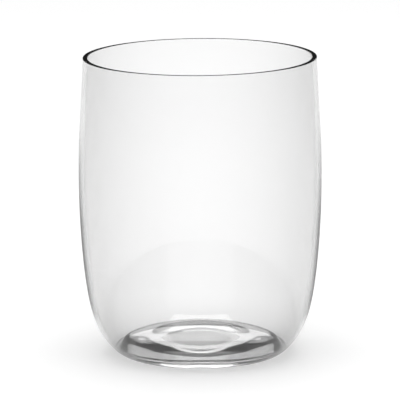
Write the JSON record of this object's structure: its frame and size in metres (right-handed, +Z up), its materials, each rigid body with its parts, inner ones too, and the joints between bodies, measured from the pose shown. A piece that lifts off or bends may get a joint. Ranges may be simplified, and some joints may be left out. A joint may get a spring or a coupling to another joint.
{
  "type": "drinking glass",
  "caption": "Clear barrel-shaped drinking glass with a gently narrowed mouth, round shoulders into a thick domed base, and no handle.",
  "frame": {"origin": "centre of the foot ring, on the surface that the glass stands on", "axes": "+Z up along the axis that the glass is turned about, from the base to the open mouth; X and Y are any two level directions, because the glass is round"},
  "size_m": [0.0808, 0.0808, 0.1],
  "materials": {
    "clear_glass": "smooth polished colourless glass, with a flat-cut polished lip"
  },
  "bodies": {
    "root": {"tumbler": "clear_glass"}
  },
  "joints": []
}
